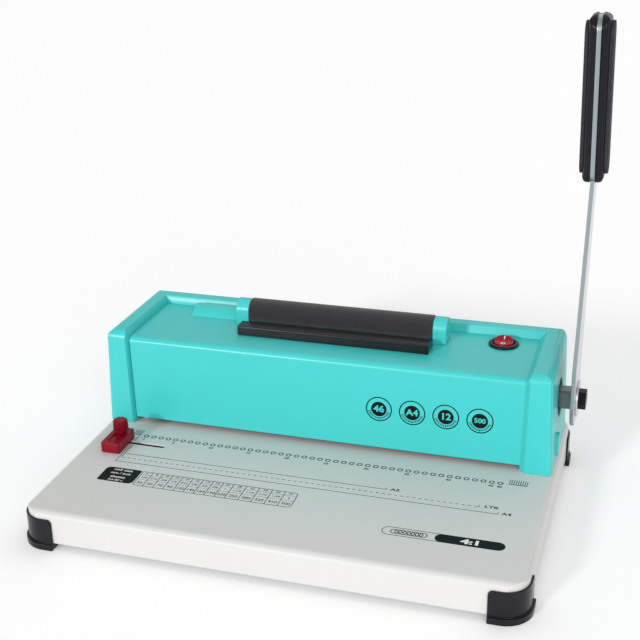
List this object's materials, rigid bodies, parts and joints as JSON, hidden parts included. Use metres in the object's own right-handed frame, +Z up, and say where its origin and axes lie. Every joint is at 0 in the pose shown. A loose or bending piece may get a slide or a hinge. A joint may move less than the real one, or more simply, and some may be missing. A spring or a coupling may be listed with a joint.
{
  "type": "coil binding machine",
  "caption": "Desk coil binding machine: a side lever punches a row of round holes in sheets, and a motor-driven foam roller on top winds coils in.",
  "frame": {"origin": "on the desk, under the middle of the whole outline, the lever counted", "axes": "+X to the operator's right, towards the lever; +Y away from the operator, to the rear; +Z up"},
  "size_m": [0.3878, 0.2546, 0.3625],
  "materials": {
    "turquoise_paint": "semi-gloss powder coat with a fine texture",
    "grey_paint": "semi-matt light grey powder coat with a fine texture",
    "black_plastic": "satin moulded black",
    "grip_plastic": "satin moulded black",
    "grip_rubber": "matt black rubber",
    "red_plastic": "smooth moulded dark red",
    "red_rocker": "translucent glossy red",
    "roller_foam": "fine-celled charcoal foam",
    "lever_steel": "bright plated flat bar",
    "shaft_steel": "dark ground steel",
    "black_steel": "black oxide",
    "bright_steel": "ground bright steel",
    "zinc_plate": "zinc plated",
    "bronze": "sintered bronze",
    "contact_brass": "bright brass"
  },
  "bodies": {
    "frame": {"housing_shell": "turquoise_paint", "front_cover": "turquoise_paint", "left_roller_block": "turquoise_paint", "right_roller_block": "turquoise_paint", "base_tray": "grey_paint", "foot_front_left": "black_plastic", "foot_front_right": "black_plastic", "foot_rear_left": "black_plastic", "foot_rear_right": "black_plastic", "coil_guide_bar": "black_plastic", "switch_body": "black_plastic", "power_inlet": "black_plastic", "drive_belt": "grip_rubber", "die_plate": "bright_steel", "guide_plate": "bright_steel", "back_stop": "bright_steel", "guide_posts": "bright_steel", "return_springs": "bright_steel", "tie_rods": "bright_steel", "drive_motor": "bright_steel", "base_bottom_plate": "zinc_plate", "bin_runners": "zinc_plate", "left_side_plate": "zinc_plate", "right_side_plate": "zinc_plate", "motor_bracket": "zinc_plate", "foot_screws": "zinc_plate", "housing_screws": "zinc_plate", "cover_screws": "zinc_plate", "plate_screws": "zinc_plate", "die_screws": "zinc_plate", "shaft_bushes": "bronze", "roller_bushes": "bronze", "inlet_blades": "contact_brass"},
    "waste_bin": {"waste_bin": "black_plastic"},
    "edge_guide": {"edge_guide_block": "red_plastic", "edge_guide_bolt": "bright_steel"},
    "guide_knob": {"edge_guide_knob": "red_plastic"},
    "roller": {"roller_core": "bright_steel", "foam_sleeve": "roller_foam", "roller_pulley": "black_plastic"},
    "motor_rotor": {"motor_shaft": "bright_steel", "motor_pulley": "black_plastic"},
    "rocker": {"rocker_button": "red_rocker"},
    "punch_carriage": {"pressure_bar": "bright_steel", "punch_pins": "bright_steel", "follower_pads": "bright_steel"},
    "lever": {"lever_shaft": "shaft_steel", "shaft_clip": "shaft_steel", "left_cam": "shaft_steel", "right_cam": "shaft_steel", "cam_pins": "bright_steel", "lever_arm": "lever_steel", "grip_inner": "grip_plastic", "grip_outer": "grip_plastic", "grip_pads": "grip_rubber", "grip_screws": "zinc_plate", "lever_washer": "lever_steel", "lever_bolt": "black_steel"}
  },
  "joints": [
    {"name": "lever_swing", "type": "hinge", "parent": "frame", "child": "lever", "pos_m": [-0.00761, 0.072, 0.0735], "axis": [1, 0, 0], "range_deg": [0, 78], "stiffness_Nm_per_rad": 0.7, "springref_deg": -34.38},
    {"name": "punch_slide", "type": "slide", "parent": "frame", "child": "punch_carriage", "axis": [0, 0, -1], "range_m": [0, 0.007], "deforming": ["return_springs"]},
    {"name": "roller_spin", "type": "hinge", "parent": "frame", "child": "roller", "pos_m": [-0.00761, 0.0847, 0.1151], "axis": [1, 0, 0], "continuous": true},
    {"name": "motor_spin", "type": "hinge", "parent": "frame", "child": "motor_rotor", "pos_m": [-0.09261, 0.0847, 0.0958], "axis": [1, 0, 0], "continuous": true},
    {"name": "rocker_tilt", "type": "hinge", "parent": "frame", "child": "rocker", "pos_m": [0.12309, 0.0884, 0.1056], "axis": [1, 0, 0], "range_deg": [-20, 0]},
    {"name": "guide_slide", "type": "slide", "parent": "frame", "child": "edge_guide", "axis": [1, 0, 0], "range_m": [-0.003, 0.032]},
    {"name": "guide_knob_turn", "type": "hinge", "parent": "edge_guide", "child": "guide_knob", "pos_m": [-0.16411, -0.0093, 0.04], "axis": [0, 0, 1], "range_deg": [0, 360]},
    {"name": "bin_slide", "type": "slide", "parent": "frame", "child": "waste_bin", "axis": [0, 1, 0], "range_m": [0, 0.062]}
  ],
  "couplings": [
    {"joint": "punch_slide", "follows": "lever_swing", "m_per_rad": 0.0051419},
    {"joint": "motor_spin", "follows": "roller_spin", "ratio": 1}
  ]
}
